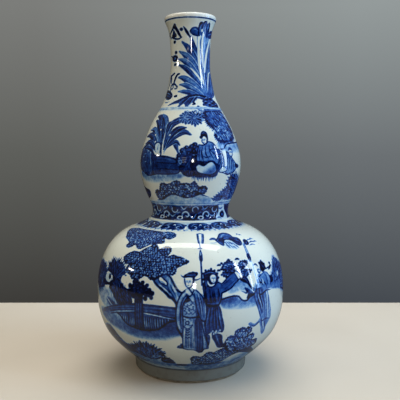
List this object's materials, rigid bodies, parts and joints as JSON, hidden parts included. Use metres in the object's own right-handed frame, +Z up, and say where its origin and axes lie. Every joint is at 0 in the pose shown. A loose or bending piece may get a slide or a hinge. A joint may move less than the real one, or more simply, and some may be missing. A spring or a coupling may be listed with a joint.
{
  "type": "double gourd vase",
  "caption": "Tall double gourd vase: a round lower bulb, a smaller upper bulb, a flared neck with a rolled lip and a foot ring, in painted glazed porcelain.",
  "frame": {"origin": "centre of the foot ring's underside, on the surface that the vase stands on", "axes": "+Z up along the axis of the vase, -Y towards the painted front, +X to the right seen from the front"},
  "size_m": [0.198, 0.198, 0.37],
  "materials": {
    "painted_porcelain": "glossy clear glaze over cobalt blue painting on white porcelain",
    "foot_porcelain": "glossy glaze, wiped off the standing edge",
    "luting_slip": "fired porcelain slip, matt"
  },
  "bodies": {
    "root": {"foot_ring": "foot_porcelain", "lower_bowl": "painted_porcelain", "lower_dome": "painted_porcelain", "waist_collar": "painted_porcelain", "upper_bowl": "painted_porcelain", "upper_dome": "painted_porcelain", "neck": "painted_porcelain", "foot_slip": "luting_slip", "belly_slip": "luting_slip", "shoulder_slip": "luting_slip", "collar_slip": "luting_slip", "upper_belly_slip": "luting_slip", "neck_slip": "luting_slip"}
  },
  "joints": []
}
